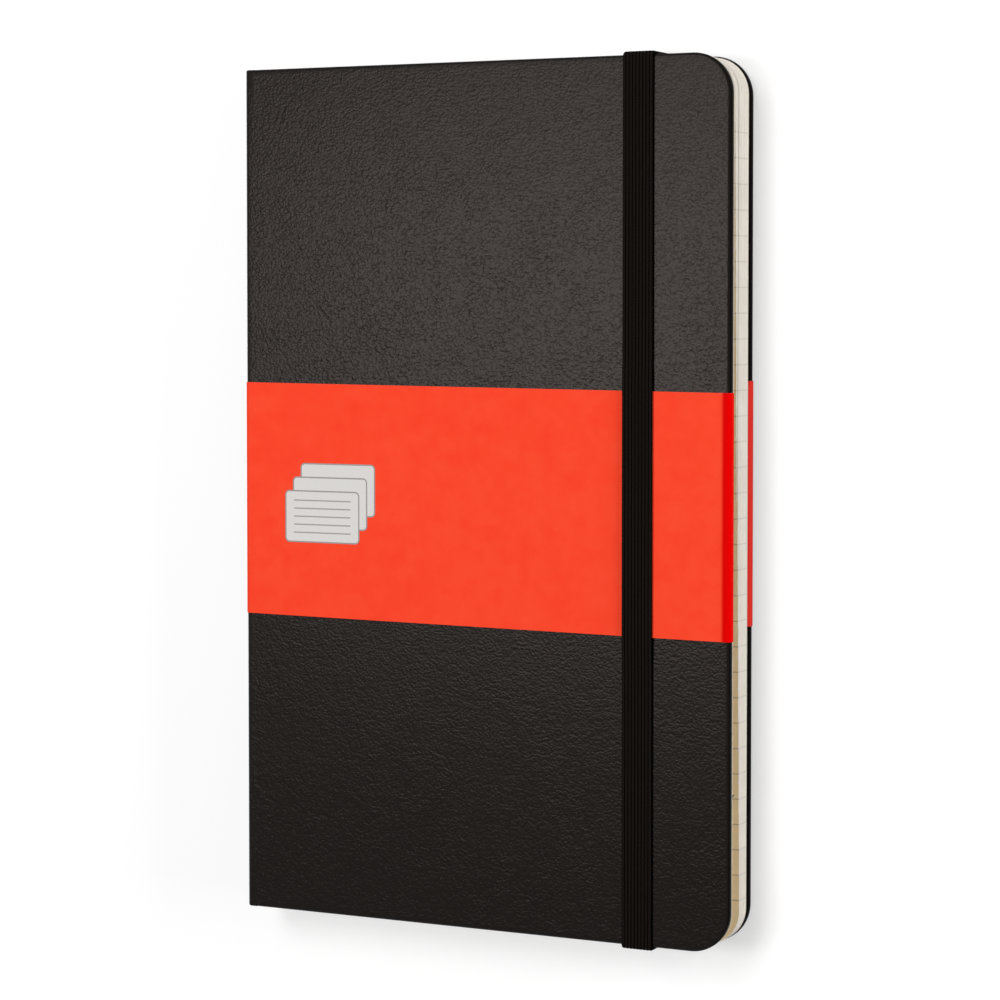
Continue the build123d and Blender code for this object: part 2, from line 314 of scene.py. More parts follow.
def make_piece(name, points, faces, materials, kinds=None, marks=None, crease=32):
    """A mesh piece from points in millimetres, smooth up to the crease angle, its normals outward.

    The kinds number each face's material, and the marks become attributes of the points."""
    mesh = bpy.data.meshes.new(name)
    mesh.from_pydata((np.asarray(points) * MM).tolist(), [], faces)
    for material in materials:
        mesh.materials.append(material)
    if kinds is not None:
        mesh.polygons.foreach_set("material_index", np.asarray(kinds, dtype=np.int32))
    shell = bmesh.new()
    shell.from_mesh(mesh)
    bmesh.ops.recalc_face_normals(shell, faces=shell.faces)
    shell.to_mesh(mesh)
    shell.free()
    for mark, values in (marks or {}).items():
        values = np.asarray(values, dtype=np.float32)
        form, key = ("FLOAT", "value") if values.ndim == 1 else ("FLOAT_VECTOR", "vector")
        mesh.attributes.new(mark, form, "POINT").data.foreach_set(key, values.ravel())
    mesh.shade_smooth()
    mesh.set_sharp_from_angle(angle=math.radians(crease))
    piece = new_object(name, mesh)
    return piece


# Node helpers


def add_node(tree, kind, inputs=(), **settings):
    """A node with its settings, and its inputs set to a value or linked from a socket."""
    made = tree.nodes.new(kind)
    for key, value in settings.items():
        setattr(made, key, value)
    for key, value in dict(inputs).items():
        if isinstance(value, bpy.types.NodeSocket):
            tree.links.new(value, made.inputs[key])
        else:
            made.inputs[key].default_value = value
    return made


def maths(tree, operation, first, second=0.0, third=0.0):
    """The result socket of one Math node."""
    return add_node(tree, "ShaderNodeMath", {0: first, 1: second, 2: third}, operation=operation).outputs[0]


def times(tree, first, second):
    """The product of two values."""
    return maths(tree, "MULTIPLY", first, second)


def vectors(tree, operation, first, second):
    """The result socket of one Vector Math node on two vectors."""
    return add_node(tree, "ShaderNodeVectorMath", {0: first, 1: second}, operation=operation).outputs[0]


def noise(tree, place, scale, detail):
    """The outputs of a noise texture."""
    return add_node(tree, "ShaderNodeTexNoise", {"Vector": place, "Scale": scale, "Detail": detail}).outputs


def mark_of(tree, mark):
    """The outputs of an attribute that the piece itself carries."""
    return add_node(tree, "ShaderNodeAttribute", attribute_name=mark).outputs


def ease(tree, value, low, high, to_low=0.0, to_high=1.0):
    """A value eased from low..high to to_low..to_high."""
    inputs = {"Value": value, "From Min": low, "From Max": high, "To Min": to_low, "To Max": to_high}
    return add_node(tree, "ShaderNodeMapRange", inputs, interpolation_type="SMOOTHSTEP").outputs["Result"]


def blend_colour(tree, share, first, second):
    """A colour between two, by a share from 0 to 1."""
    ends = [end if isinstance(end, bpy.types.NodeSocket) else (*end, 1.0) for end in (first, second)]
    # In a Mix node the colours are inputs 6 and 7, and the mixed colour is output 2
    return add_node(tree, "ShaderNodeMix", {0: share, 6: ends[0], 7: ends[1]}, data_type="RGBA").outputs[2]


def shaded(tone, share):
    """A tone times a share, with no channel past 1."""
    return tuple(min(1.0, share * channel) for channel in tone)


def new_group(name, inputs, outputs):
    """An empty node group with named float or vector inputs and float outputs, and its two end nodes."""
    group = bpy.data.node_groups.new(name, "ShaderNodeTree")
    for label, value in inputs.items():
        kind = "NodeSocketVector" if value is None else "NodeSocketFloat"
        socket = group.interface.new_socket(name=label, in_out="INPUT", socket_type=kind)
        if value is not None:
            socket.default_value = value
    for label in outputs:
        group.interface.new_socket(name=label, in_out="OUTPUT", socket_type="NodeSocketFloat")
    return group, group.nodes.new("NodeGroupInput").outputs, group.nodes.new("NodeGroupOutput").inputs


def pebble_grain():
    """Embossed leather grain: wandering pebbles, wider than they are high, with a finer roughness on them.

    A pebble's height falls with the square of the distance from its middle, down to the valley round it."""
    group, given, result = new_group("pebble_grain", {"Place": None, "Cell": 1.0}, ["Height", "Valley"])
    wander = noise(group, given["Place"], scale=0.55, detail=2.0)["Color"]
    centred = vectors(group, "ADD", wander, (-0.5, -0.5, -0.5))
    place = vectors(group, "ADD", given["Place"], vectors(group, "MULTIPLY", centred, (1.3, 1.3, 1.3)))
    drawn = vectors(group, "MULTIPLY", place, (0.95, 1.2, 1.0))
    scale = maths(group, "DIVIDE", 1.0, given["Cell"])
    far = add_node(group, "ShaderNodeTexVoronoi", {"Vector": drawn, "Scale": scale}).outputs["Distance"]
    dome = maths(group, "SUBTRACT", 1.0, times(group, far, far))
    fine = noise(group, given["Place"], scale=3.2, detail=2.0)["Fac"]
    group.links.new(maths(group, "MULTIPLY_ADD", fine, 0.1, dome), result["Height"])
    group.links.new(ease(group, far, 0.35, 0.75), result["Valley"])
    return group


def paper_fibre():
    """Paper: a cloudy formation, short fibres drawn out one way, and a few darker specks."""
    inputs = {"Place": None, "Size": 1.0}
    group, given, result = new_group("paper_fibre", inputs, ["Cloud", "Fibre", "Speck"])
    scale = maths(group, "DIVIDE", 1.0, given["Size"])
    scaled = add_node(group, "ShaderNodeVectorMath", {0: given["Place"], "Scale": scale}, operation="SCALE")
    place = scaled.outputs[0]
    drawn = vectors(group, "MULTIPLY", place, (1.2, 5.0, 5.0))
    speck = noise(group, place, scale=1.7, detail=2.0)["Fac"]
    group.links.new(noise(group, place, scale=0.16, detail=3.0)["Fac"], result["Cloud"])
    group.links.new(noise(group, drawn, scale=1.0, detail=4.0)["Fac"], result["Fibre"])
    group.links.new(ease(group, speck, 0.66, 0.78), result["Speck"])
    return group


def woven_threads():
    """Plain weave: warp and weft as round-backed threads that pass over each other in turn."""
    inputs = {"Place": None, "Warp": 0.4, "Weft": 0.4}
    group, given, result = new_group("woven_threads", inputs, ["Height", "Hollow", "Groove"])
    place = add_node(group, "ShaderNodeSeparateXYZ", {0: given["Place"]}).outputs
    across = maths(group, "DIVIDE", place[0], given["Warp"])
    along = maths(group, "DIVIDE", place[1], given["Weft"])
    warp = maths(group, "ABSOLUTE", maths(group, "SINE", times(group, across, math.pi)))
    weft = maths(group, "ABSOLUTE", maths(group, "SINE", times(group, along, math.pi)))
    count = maths(group, "ADD", maths(group, "FLOOR", across), maths(group, "FLOOR", along))
    over = times(group, maths(group, "FRACT", times(group, count, 0.5)), 2.0)
    under = maths(group, "SUBTRACT", 1.0, over)
    height = maths(group, "MULTIPLY_ADD", warp, over, times(group, weft, under))
    group.links.new(height, result["Height"])
    # Masks for painted shade: the hollows between the threads and the warp's grooves
    group.links.new(ease(group, height, 0.0, 0.55, to_low=1.0, to_high=0.0), result["Hollow"])
    group.links.new(ease(group, warp, 0.1, 0.85, to_low=1.0, to_high=0.0), result["Groove"])
    return group


def ruled_lines():
    """Ruling: a thin soft line each pitch along one direction."""
    inputs = {"Along": 0.0, "Pitch": 6.0, "Width": 0.2}
    group, given, result = new_group("ruled_lines", inputs, ["Line"])
    share = maths(group, "FRACT", maths(group, "DIVIDE", given["Along"], given["Pitch"]))
    middle = maths(group, "ABSOLUTE", maths(group, "SUBTRACT", share, 0.5))
    apart = times(group, middle, given["Pitch"])
    inner = times(group, given["Width"], 0.35)
    levels = {"Value": apart, "From Min": inner, "From Max": given["Width"], "To Min": 1.0, "To Max": 0.0}
    line = add_node(group, "ShaderNodeMapRange", levels)
    group.links.new(line.outputs["Result"], result["Line"])
    return group


grain = pebble_grain()
fibre = paper_fibre()
weave = woven_threads()
rules = ruled_lines()


def use_group(tree, group, inputs):
    """The outputs of a group placed in a material."""
    return add_node(tree, "ShaderNodeGroup", inputs, node_tree=group).outputs


# Finishes


def new_material(name, roughness=0.5, gloss=0.25):
    """A material with its shader, and the place in millimetres that its patterns read."""
    material = bpy.data.materials.new(name)
    material.use_nodes = True
    tree = material.node_tree
    shader = tree.nodes["Principled BSDF"]
    shader.inputs["Roughness"].default_value = roughness
    shader.inputs["Specular IOR Level"].default_value = gloss
    where = add_node(tree, "ShaderNodeTexCoord").outputs["Object"]
    scaled = add_node(tree, "ShaderNodeMapping", {"Vector": where, "Scale": (1 / MM, 1 / MM, 1 / MM)})
    return material, tree, shader, scaled.outputs[0]


def emboss(tree, shader, height, depth, strength):
    """A bump of the height, depth in millimetres."""
    bump = add_node(tree, "ShaderNodeBump", {"Height": height, "Distance": depth * MM, "Strength": strength})
    tree.links.new(bump.outputs["Normal"], shader.inputs["Normal"])


def leatherette_finish(name, gloss):
    """Charcoal leatherette: pebbled more and less deeply from place to place, darker in the valleys.

    It is paler where the piece's rub mark says that an edge is worn."""
    material, tree, shader, place = new_material(name, gloss=gloss)
    shader.inputs["Specular Tint"].default_value = (1.0, 0.86, 0.79, 1.0)
    pebbles = use_group(tree, grain, {"Place": place, "Cell": 0.72})
    drift = noise(tree, place, scale=0.045, detail=3.0)["Fac"]
    press = noise(tree, place, scale=0.16, detail=2.0)["Fac"]
    valley = times(tree, pebbles["Valley"], 0.5)
    worn = times(tree, mark_of(tree, "rub")["Fac"], 0.3)
    tops = blend_colour(tree, drift, (0.0026, 0.0021, 0.0018), (0.0042, 0.0034, 0.0029))
    dyed = blend_colour(tree, valley, tops, (0.0014, 0.0011, 0.0009))
    colour = blend_colour(tree, worn, dyed, (0.0085, 0.0070, 0.0062))
    tree.links.new(colour, shader.inputs["Base Color"])
    rough = ease(tree, pebbles["Height"], 0.4, 1.0, to_low=0.30, to_high=0.22)
    tree.links.new(rough, shader.inputs["Roughness"])
    deep = ease(tree, press, 0.3, 0.7, to_low=0.75, to_high=1.1)
    pressed = times(tree, pebbles["Height"], deep)
    emboss(tree, shader, pressed, depth=0.075, strength=0.6)
    return material


def paper_finish(name, light, dark, rule=None, size=1.0):
    """Uncoated paper or board: cloudy between two tones, fibrous, with specks.

    A rule, where given, is its share and its ink. The ruling leaves a margin at the head and a smaller one
    at the tail."""
    material, tree, shader, place = new_material(name, roughness=0.8)
    stock = use_group(tree, fibre, {"Place": place, "Size": size})
    toned = blend_colour(tree, ease(tree, stock["Cloud"], 0.3, 0.7), dark, light)
    colour = blend_colour(tree, times(tree, stock["Speck"], 0.25), toned, shaded(dark, 0.62))
    if rule:
        share, ink = rule
        along = add_node(tree, "ShaderNodeSeparateXYZ", {0: place}).outputs[1]
        started = maths(tree, "ADD", along, RULE_START)
        line = use_group(tree, rules, {"Along": started, "Pitch": RULE_PITCH, "Width": RULE_WIDTH})["Line"]
        inside = maths(tree, "COMPARE", along, RULED_MIDDLE, RULED_HALF)
        drawn = times(tree, times(tree, line, inside), share)
        colour = blend_colour(tree, drawn, colour, ink)
    tree.links.new(colour, shader.inputs["Base Color"])
    emboss(tree, shader, stock["Fibre"], depth=0.03, strength=0.5)
    return material


def band_finish(name, fold_shade_tone):
    """Red-orange printed paper: an even ink film, faintly mottled, with painted shade in a darker red where
    it is folded.
    """
    material, tree, shader, place = new_material(name, gloss=0.015)
    stock = use_group(tree, fibre, {"Place": place, "Size": 0.7})
    ink = blend_colour(tree, stock["Cloud"], (0.97, 0.048, 0.018), (1.0, 0.083, 0.034))
    # Painted shade: the fold mark darkens the red where the band turns round the fore edge
    fold_shaded = blend_colour(tree, mark_of(tree, "fold")["Fac"], ink, fold_shade_tone)
    tree.links.new(fold_shaded, shader.inputs["Base Color"])
    rough = ease(tree, stock["Fibre"], 0.2, 0.8, to_low=0.50, to_high=0.62)
    tree.links.new(rough, shader.inputs["Roughness"])
    emboss(tree, shader, stock["Fibre"], depth=0.012, strength=0.4)
    return material


def woven_finish(name, thread, hollow_shade, warp, weft, depth, roughness, gloss=0.15, groove_shade=0.0):
    """Woven cloth: threads in one tone, with painted shade in the hollows between them and in a share of the
    warp's grooves.

    The piece's lay mark gives the place across and along the strip, in millimetres."""
    material, tree, shader, place = new_material(name, roughness, gloss)
    lay = mark_of(tree, "lay")["Vector"]
    cloth = use_group(tree, weave, {"Place": lay, "Warp": warp, "Weft": weft})
    # Painted shade: the hollows and the warp's grooves are darkened in the colour
    dark = maths(tree, "MAXIMUM", times(tree, cloth["Hollow"], 0.8),
                 times(tree, cloth["Groove"], groove_shade))
    fuzz = noise(tree, place, scale=1.4, detail=3.0)["Fac"]
    tone = blend_colour(tree, fuzz, shaded(thread, 0.8), shaded(thread, 1.2))
    tree.links.new(blend_colour(tree, dark, tone, hollow_shade), shader.inputs["Base Color"])
    emboss(tree, shader, cloth["Height"], depth, strength=0.6)
    return material


def ink_finish(name, tone):
    """Printing ink: slightly uneven over the paper's fibres."""
    material, tree, shader, place = new_material(name, roughness=0.7)
    stock = use_group(tree, fibre, {"Place": place, "Size": 0.5})
    patchy = blend_colour(tree, ease(tree, stock["Fibre"], 0.3, 0.7), tone, shaded(tone, 1.12))
    tree.links.new(patchy, shader.inputs["Base Color"])
    emboss(tree, shader, stock["Fibre"], depth=0.006, strength=0.3)
    return material


leatherette = leatherette_finish("leatherette_finish", gloss=0.102)
leatherette_edge = leatherette_finish("leatherette_edge_finish", gloss=0.01)
greyboard = paper_finish("greyboard_finish", (0.30, 0.27, 0.23), (0.22, 0.20, 0.17), size=1.6)
endpaper = paper_finish("endpaper_finish", (0.80, 0.76, 0.66), (0.75, 0.71, 0.61), size=1.2)
page = paper_finish("page_finish", (0.88, 0.83, 0.76), (0.84, 0.79, 0.72),
                    rule=(0.22, (0.30, 0.26, 0.22)))
pocket_card = paper_finish("pocket_card_finish", (0.74, 0.69, 0.57), (0.69, 0.64, 0.52), size=1.4)
lining = paper_finish("lining_finish", (0.55, 0.51, 0.44), (0.49, 0.45, 0.39), size=1.5)
cut_paper = paper_finish("cut_paper_finish", (0.88, 0.85, 0.82), (0.80, 0.76, 0.73), size=0.4)
# The fold tones are painted shade on the band's turn round the fore edge
band_red = band_finish("band_finish", fold_shade_tone=(0.74, 0.0006, 0.0004))
band_red_back = band_finish("band_back_finish", fold_shade_tone=(0.66, 0.030, 0.022))
# The hollow tones, and the elastic's groove share between its ribs, are painted shade
elastic = woven_finish("elastic_finish", (0.0098, 0.0074, 0.0060), (0.0006, 0.0005, 0.0004),
                       warp=strap_width / STRAP_RIBS, weft=0.36, depth=0.12, roughness=0.8,
                       gloss=0.02, groove_shade=0.95)
ribbon_weave = woven_finish("ribbon_finish", (0.030, 0.028, 0.027), (0.008, 0.0075, 0.007),
                            warp=0.28, weft=0.24, depth=0.03, roughness=0.42)
gusset_cloth = woven_finish("gusset_finish", (0.60, 0.55, 0.45), (0.33, 0.30, 0.24),
                            warp=0.35, weft=0.35, depth=0.04, roughness=0.85)
thread_ply = paper_finish("thread_finish", (0.74, 0.71, 0.64), (0.58, 0.55, 0.49), size=0.25)
# The tan film: partly the tabs' printed tone, partly painted shade under the front cover's overhang; below
# the last tab it is painted shade alone
tab_print_and_shade = paper_finish("tab_print_and_shade_finish", (1.0, 0.80, 0.50), (0.95, 0.75, 0.46),
                        rule=(0.5, (0.24, 0.17, 0.09)))
letter_ink = ink_finish("letter_ink", (0.10, 0.095, 0.09))
pale_ink = ink_finish("pale_ink", (0.66, 0.64, 0.62))
grey_ink = ink_finish("grey_ink", (0.30, 0.28, 0.27))

for finish, shown in (
    (greyboard, ("front_board", "back_board", "spine_board")),
    (endpaper, ("front_pastedown", "back_pastedown", "front_flyleaf", "back_flyleaf")),
    (lining, ("spine_lining",)),
    (pocket_card, ("pocket_panel",)),
    (elastic, ("strap_ends",)),
):
    for name in shown:
        nodes[name].data.materials.clear()
        nodes[name].data.materials.append(finish)


# Case


def cover_outline(inset, stops):
    """A cover's outline drawn in by an inset and open at the spine: tail run, two fore corners, head run.

    The runs have points at the given stops along X, and the corners are quarter circles."""
    radius = max(CORNER_RADIUS - inset, TURN_IN_CORNER)
    corner_x = fore_x - inset - radius
    side_y = half_height - inset
    tail = np.stack([stops, np.full_like(stops, -side_y)], axis=1)
    head = tail[::-1] * (1, -1)
    foot_corner = arc((corner_x, radius - side_y), radius, -90, 0, steps=25)
    head_corner = arc((corner_x, side_y - radius), radius, 0, 90, steps=25)
    return np.concatenate([tail, foot_corner, head_corner, head])


def cover_skin(name, outer, inward, channel, body):
    """A cover's leatherette: its outline carried round the rim's profile, from outer face to turn-in.

    The profile is a row of insets and depths: flat face, quarter-round edge, side, quarter-round edge,
    turned-in rim, and back along the board's room. A channel sinks the points under the strap."""
    bend = np.radians(np.linspace(0, 90, BEND_STEPS))
    out = EDGE_RADIUS * (1 - np.sin(bend))
    over = EDGE_RADIUS * (1 - np.cos(bend))
    face = [SLIT_INSET + SLIT_MARGIN, SLIT_INSET + CHANNEL_WALL, SLIT_INSET, 2 * EDGE_RADIUS]
    inside = [2 * EDGE_RADIUS, TURN_IN, TURN_IN, LEATHER, LEATHER, TURN_IN]
    inner = skin_depth - LEATHER
    inside_depth = [skin_depth, skin_depth, inner, inner, LEATHER, LEATHER]
    inset = np.concatenate([face, out, over, inside])
    depth = np.concatenate([np.zeros(len(face)), over, skin_depth - out, inside_depth])
    half = strap_width / 2 + CHANNEL_ROOM
    near, far = strap_x - half, strap_x + half
    stops = np.array([cover_x, near - CHANNEL_WALL, near, far, far + CHANNEL_WALL])
    outlines = np.stack([cover_outline(step, stops) for step in inset])
    rows, columns = outlines.shape[:2]
    depths = np.repeat(depth[:, None], columns, axis=1)
    sunk = np.zeros(depths.shape, dtype=bool)
    # The channel's floor lies between the third and the fourth stop, counted from either end of the outline
    sunk[face.index(SLIT_INSET):len(face) + BEND_STEPS, [2, 3, -4, -3]] = True
    depths = np.where(sunk, np.maximum(depths, channel), depths)
    points = np.concatenate([outlines, (outer + inward * depths)[..., None]], axis=2).reshape(-1, 3)
    index = np.arange(rows * columns).reshape(rows, columns)
    spine_end = np.concatenate([index[:, 0], index[::-1, -1]])
    lids = [index[0].tolist(), index[-1].tolist(), spine_end.tolist()]
    faces = grid_quads(rows, columns, False).tolist() + lids
    outside = np.arange(rows) < len(face) + 2 * BEND_STEPS
    rub = np.where(outside, np.clip(1 - inset / RUB_REACH, 0, 1), 0)
    turned = np.arange(rows - 1) >= len(face) + BEND_STEPS // 2
    kinds = np.concatenate([np.repeat(turned, columns - 1), [False, True, True]])
    skin = make_piece(name, points, faces, [leatherette, leatherette_edge], kinds=kinds,
                      marks={"rub": np.repeat(rub, columns)})
    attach(skin, body)
    return skin


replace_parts(cover_skin("front_skin", front_high[2], -1, 0.0, "front_cover"), "front_leatherette")
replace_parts(cover_skin("back_skin", back_low[2], 1, CHANNEL_DEPTH, "back_cover"), "back_leatherette")


def spine_skin():
    """The spine's leatherette: a C-shaped outline, round at head and tail and turned in, carried along Z."""
    out_x, in_x = spine_low[0], spine_high[0]
    rubbed_x = out_x + LEATHER + SPINE_RUB
    tip = half_height - SPINE_END
    tail = np.concatenate([
        arc((out_x + SPINE_END, -tip), SPINE_END, 180, 270),
        arc((in_x - SPINE_END, -tip), SPINE_END, 270, 360),
    ])
    lip = np.array([
        [in_x, TURN_IN - half_height],
        [in_x - LEATHER, TURN_IN - half_height],
        [in_x - LEATHER, LEATHER - half_height],
        [out_x + LEATHER, LEATHER - half_height],
    ])
    half = np.concatenate([tail, lip])
    outline = np.concatenate([half, half[::-1] * (1, -1)])
    points, faces = prisms([outline], [spine_low[2]], [spine_high[2]])
    rub = np.clip((np.abs(points[:, 1]) - tip) / SPINE_END, 0, 1) * (points[:, 0] < rubbed_x)
    skin = make_piece("spine_skin", points, faces, [leatherette], marks={"rub": rub})
    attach(skin, "spine")
    return skin


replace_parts(spine_skin(), "spine_leatherette")


def carried(path, sides, axis):
    """A sheet's middle and its normals: a plane path carried sideways along an axis, 0 for X or 1 for Y.

    The path lies in Z and the other of the two."""
    other = 1 - axis
    middle = np.zeros((len(path), len(sides), 3))
    middle[..., axis] = sides
    middle[..., [other, 2]] = path[:, None]
    normal = np.zeros(middle.shape)
    normal[..., [other, 2]] = path_normals(path)[:, None]
    return middle, normal


def hinge_skin(name, path):
    """Bare leatherette round a spine corner: a flat, a quarter turn and a flat, carried from tail to head.

    At head and tail it turns in by a quarter circle, as the covers' edges do."""
    bend = np.radians(np.linspace(0, 90, HINGE_END_STEPS))
    reach = half_height - HINGE_END * (1 - np.sin(bend))
    sides = np.concatenate([-reach[::-1], np.linspace(-reach[0], reach[0], HINGE_COLUMNS)[1:-1], reach])
    sink = np.clip((np.abs(sides) - reach[0]) / HINGE_END, 0, 1)
    middle, normal = carried(path, sides, axis=1)
    middle -= normal * (HINGE_END * (1 - np.sqrt(1 - sink ** 2)))[None, :, None]
    points, faces, _ = thick_sheet(middle, normal, LEATHER)
    skin = make_piece(name, points, faces, [leatherette],
                      marks={"rub": np.full(len(points), HINGE_RUB)})
    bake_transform(skin)
    return skin


skin_radius = HINGE_RADIUS - LEATHER / 2
skin_x = spine_low[0] + LEATHER / 2
front_bend = np.concatenate([
    [[skin_x, spine_high[2]]],
    arc((hinge_x, front_hinge_z), skin_radius, 180, 90, steps=2 * BEND_STEPS),
    [[cover_x, front_high[2] - LEATHER / 2]],
])
back_bend = np.concatenate([
    [[cover_x, back_low[2] + LEATHER / 2]],
    arc((hinge_x, back_hinge_z), skin_radius, 270, 180, steps=2 * BEND_STEPS),
    [[skin_x, spine_low[2]]],
])
front_hinge = hinge_skin("front_hinge_skin", front_bend)
back_hinge = hinge_skin("back_hinge_skin", back_bend)
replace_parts(front_hinge, "front_hinge")
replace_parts(back_hinge, "back_hinge")


# Leaves

leaf_low, leaf_high = span("back_leaves")
leaf_top = leaf_high[1]
tabs_top = leaf_top - LEAF_CORNER - TAB_MARGIN
tab_pitch = 2 * tabs_top / len(ascii_lowercase)
trim = np.random.default_rng(26)


def leaf_outline(fore, tab_foot=None):
    """A page's outline, counter-clockwise from the tail edge, its fore corners quarter circles.

    With a tab foot the fore edge below it is cut back by the tab's depth, round at foot and root."""
    centre_x = fore - LEAF_CORNER
    corner_y = leaf_top - LEAF_CORNER
    head = arc((centre_x, corner_y), LEAF_CORNER, 0, 90, steps=13)
    gutter = [[leaf_low[0], leaf_top], [leaf_low[0], -leaf_top]]
    if tab_foot is None:
        tail = arc((centre_x, -corner_y), LEAF_CORNER, -90, 0, steps=13)
        return np.concatenate([tail, head, gutter])
    cut_x = fore - TAB_DEPTH
    met = -math.degrees(math.acos((LEAF_CORNER - TAB_DEPTH) / LEAF_CORNER))
    return np.concatenate([
        arc((centre_x, -corner_y), LEAF_CORNER, -90, met, steps=9),
        arc((cut_x + TAB_ROOT, tab_foot - TAB_ROOT), TAB_ROOT, 180, 90, steps=6),
        arc((fore - TAB_ROUND, tab_foot + TAB_ROUND), TAB_ROUND, -90, 0, steps=7),
        head,
        gutter,
    ])


def leaf_stack(name, low, high, count, body, replaced, tab_foot=None):
    """Single leaves between two levels, each trimmed a little differently at the fore edge."""
    step = (high - low + LEAF_GAP) / count
    lows = low + step * np.arange(count)
    fores = leaf_high[0] - TRIM * trim.random(count)
    points, faces = prisms([leaf_outline(fore, tab_foot) for fore in fores], lows, lows + step - LEAF_GAP)
    leaves = make_piece(name, points, faces, [page])
    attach(leaves, body)
    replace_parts(leaves, replaced)


leaf_stack("plain_leaves", leaf_low[2], leaf_high[2], PLAIN_LEAVES, "back_cover", "back_leaves")


def tab_outline(tab_foot):
    """A tab's tan area, printed tone and painted shade: its depth by its height and the foot of the tab
    above, round at its own foot.
    """
    fore = leaf_high[0] - TRIM
    cut_x = leaf_high[0] - TAB_DEPTH
    head = min(tab_foot + tab_pitch + TAB_ROUND, tabs_top)
    foot = arc((fore - TAB_ROUND, tab_foot + TAB_ROUND), TAB_ROUND, -90, 0, steps=7)
    return np.concatenate([[[cut_x, tab_foot]], foot, [[fore, head], [cut_x, head]]])


def tail_painted_shade():
    """Painted shade below the last tab, as a tan film: the plain leaves' tail corner, a quarter circle, and
    a chord.
    """
    fore = leaf_high[0] - TRIM
    corner = arc((fore - LEAF_CORNER, LEAF_CORNER - leaf_top), LEAF_CORNER, -90, 0, steps=13) + (0, TRIM)
    head = TAB_ROUND - tabs_top
    outline = np.concatenate([corner, [[fore, head], [leaf_high[0] - TAB_DEPTH, head]]])
    points, faces = prisms([outline], [leaf_high[2] + TAB_FILM_CLEAR], [leaf_high[2] + TAB_FILM_TOP])
    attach(make_piece("tail_painted_shade", points, faces, [tab_print_and_shade]), "back_cover")


tail_painted_shade()


def letter_film(letter):
    """A capital of the built-in typeface as a thin flat skin round the origin: its points and its faces."""
    written = bpy.data.curves.new(f"letter_{letter}", "FONT")
    written.body = letter.upper()
    written.size = LETTER_SIZE
    written.align_x = "CENTER"
    written.align_y = "CENTER"
    written.extrude = LETTER_HALF
    carrier = new_object(f"letter_{letter}_text", written)
    bpy.context.view_layer.update()
    mesh = bpy.data.meshes.new_from_object(carrier.evaluated_get(bpy.context.evaluated_depsgraph_get()))
    bpy.data.objects.remove(carrier)
    flat = np.empty(3 * len(mesh.vertices))
    mesh.vertices.foreach_get("co", flat)
    faces = [list(face.vertices) for face in mesh.polygons]
    bpy.data.meshes.remove(mesh)
    return flat.reshape(-1, 3), faces


def printed_letter(letter, tab_foot, low, high):
    """A capital on both faces of its tab, the letter and the tan film, printed tone and painted shade, as
    thin films just clear of the paper.
    """
    flat, letter_faces = letter_film(letter)
    place = np.array([leaf_high[0] - LETTER_INSET, tab_foot + tab_pitch / 2, 0])
    front = flat + place + (0, 0, high + LETTER_CLEAR)
    back = flat * (-1, 1, -1) + place + (0, 0, low - LETTER_CLEAR)
    # The tab's tan film: printed tone and painted shade
    tint, tint_faces = prisms([tab_outline(tab_foot)] * 2, [low - TAB_FILM_TOP, high + TAB_FILM_CLEAR],
                              [low - TAB_FILM_CLEAR, high + TAB_FILM_TOP])
    points, faces = joined([(front, letter_faces), (back, letter_faces), (tint, tint_faces)])
    kinds = np.repeat([0, 1], [2 * len(letter_faces), len(tint_faces)])
    ink = make_piece(f"letter_{letter}", points, faces, [letter_ink, tab_print_and_shade], kinds=kinds,
                     crease=20)
    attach(ink, f"leaves_{letter}")


for place, letter in enumerate(ascii_lowercase):
    low, high = (corner[2] for corner in span(f"section_{letter}"))
    foot = tabs_top - (place + 1) * tab_pitch
    body = f"leaves_{letter}"
    leaf_stack(f"leaves_of_{letter}", low, high, LEAVES_PER_LETTER, body, f"section_{letter}", foot)
    printed_letter(letter, foot, low, high)


def sewn_thread():
    """Two plies twisted round each stitch's line: rings of a small circle carried along a helix."""
    low, high = span("sewing_thread")
    centre = (low + high) / 2
    ply = (high[0] - low[0]) / 4
    along = np.linspace(0, STITCH, THREAD_STEPS)
    turn = 2 * math.pi * along / THREAD_PITCH
    round_ply = np.linspace(0, 2 * math.pi, THREAD_SIDES, endpoint=False)
    plies = []
    for number in range(STITCHES):
        start = (number - (STITCHES - 1) / 2) * (STITCH + STITCH_GAP) - STITCH / 2
        for phase in (0, math.pi):
            x = ply * np.cos(turn + phase)[:, None] + ply * np.cos(round_ply)
            z = ply * np.sin(turn + phase)[:, None] + ply * np.sin(round_ply)
            y = np.broadcast_to((start + along)[:, None], x.shape)
            plies.append(loft(np.stack([centre[0] + x, y, centre[2] + z], axis=2)))
    points, faces = joined(plies)
    thread = make_piece("binding_thread", points, faces, [thread_ply], crease=60)
    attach(thread, "back_cover")
    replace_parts(thread, "sewing_thread")


sewn_thread()


# Strap


def strap_section(samples):
    """The strap's outline across its width, with each of its points' place across.

    Rounded ribs lie side by side above and below, and the strap is thinner at both selvedges."""
    share = np.linspace(0, 1, samples)
    rib = np.abs(np.sin(math.pi * STRAP_RIBS * share)) ** RIB_POWER
    edge = (1 - np.abs(2 * share - 1) ** SELVEDGE_POWER) ** 0.5
    half = STRAP / 2 * (RIB_GROOVE + (1 - RIB_GROOVE) * rib) * (SELVEDGE + (1 - SELVEDGE) * edge)
    across = (share - 0.5) * strap_width
    outline = np.concatenate([np.stack([across, half], axis=1), np.stack([across, -half], axis=1)[::-1]])
    return outline, np.concatenate([share, share[::-1]]) * strap_width


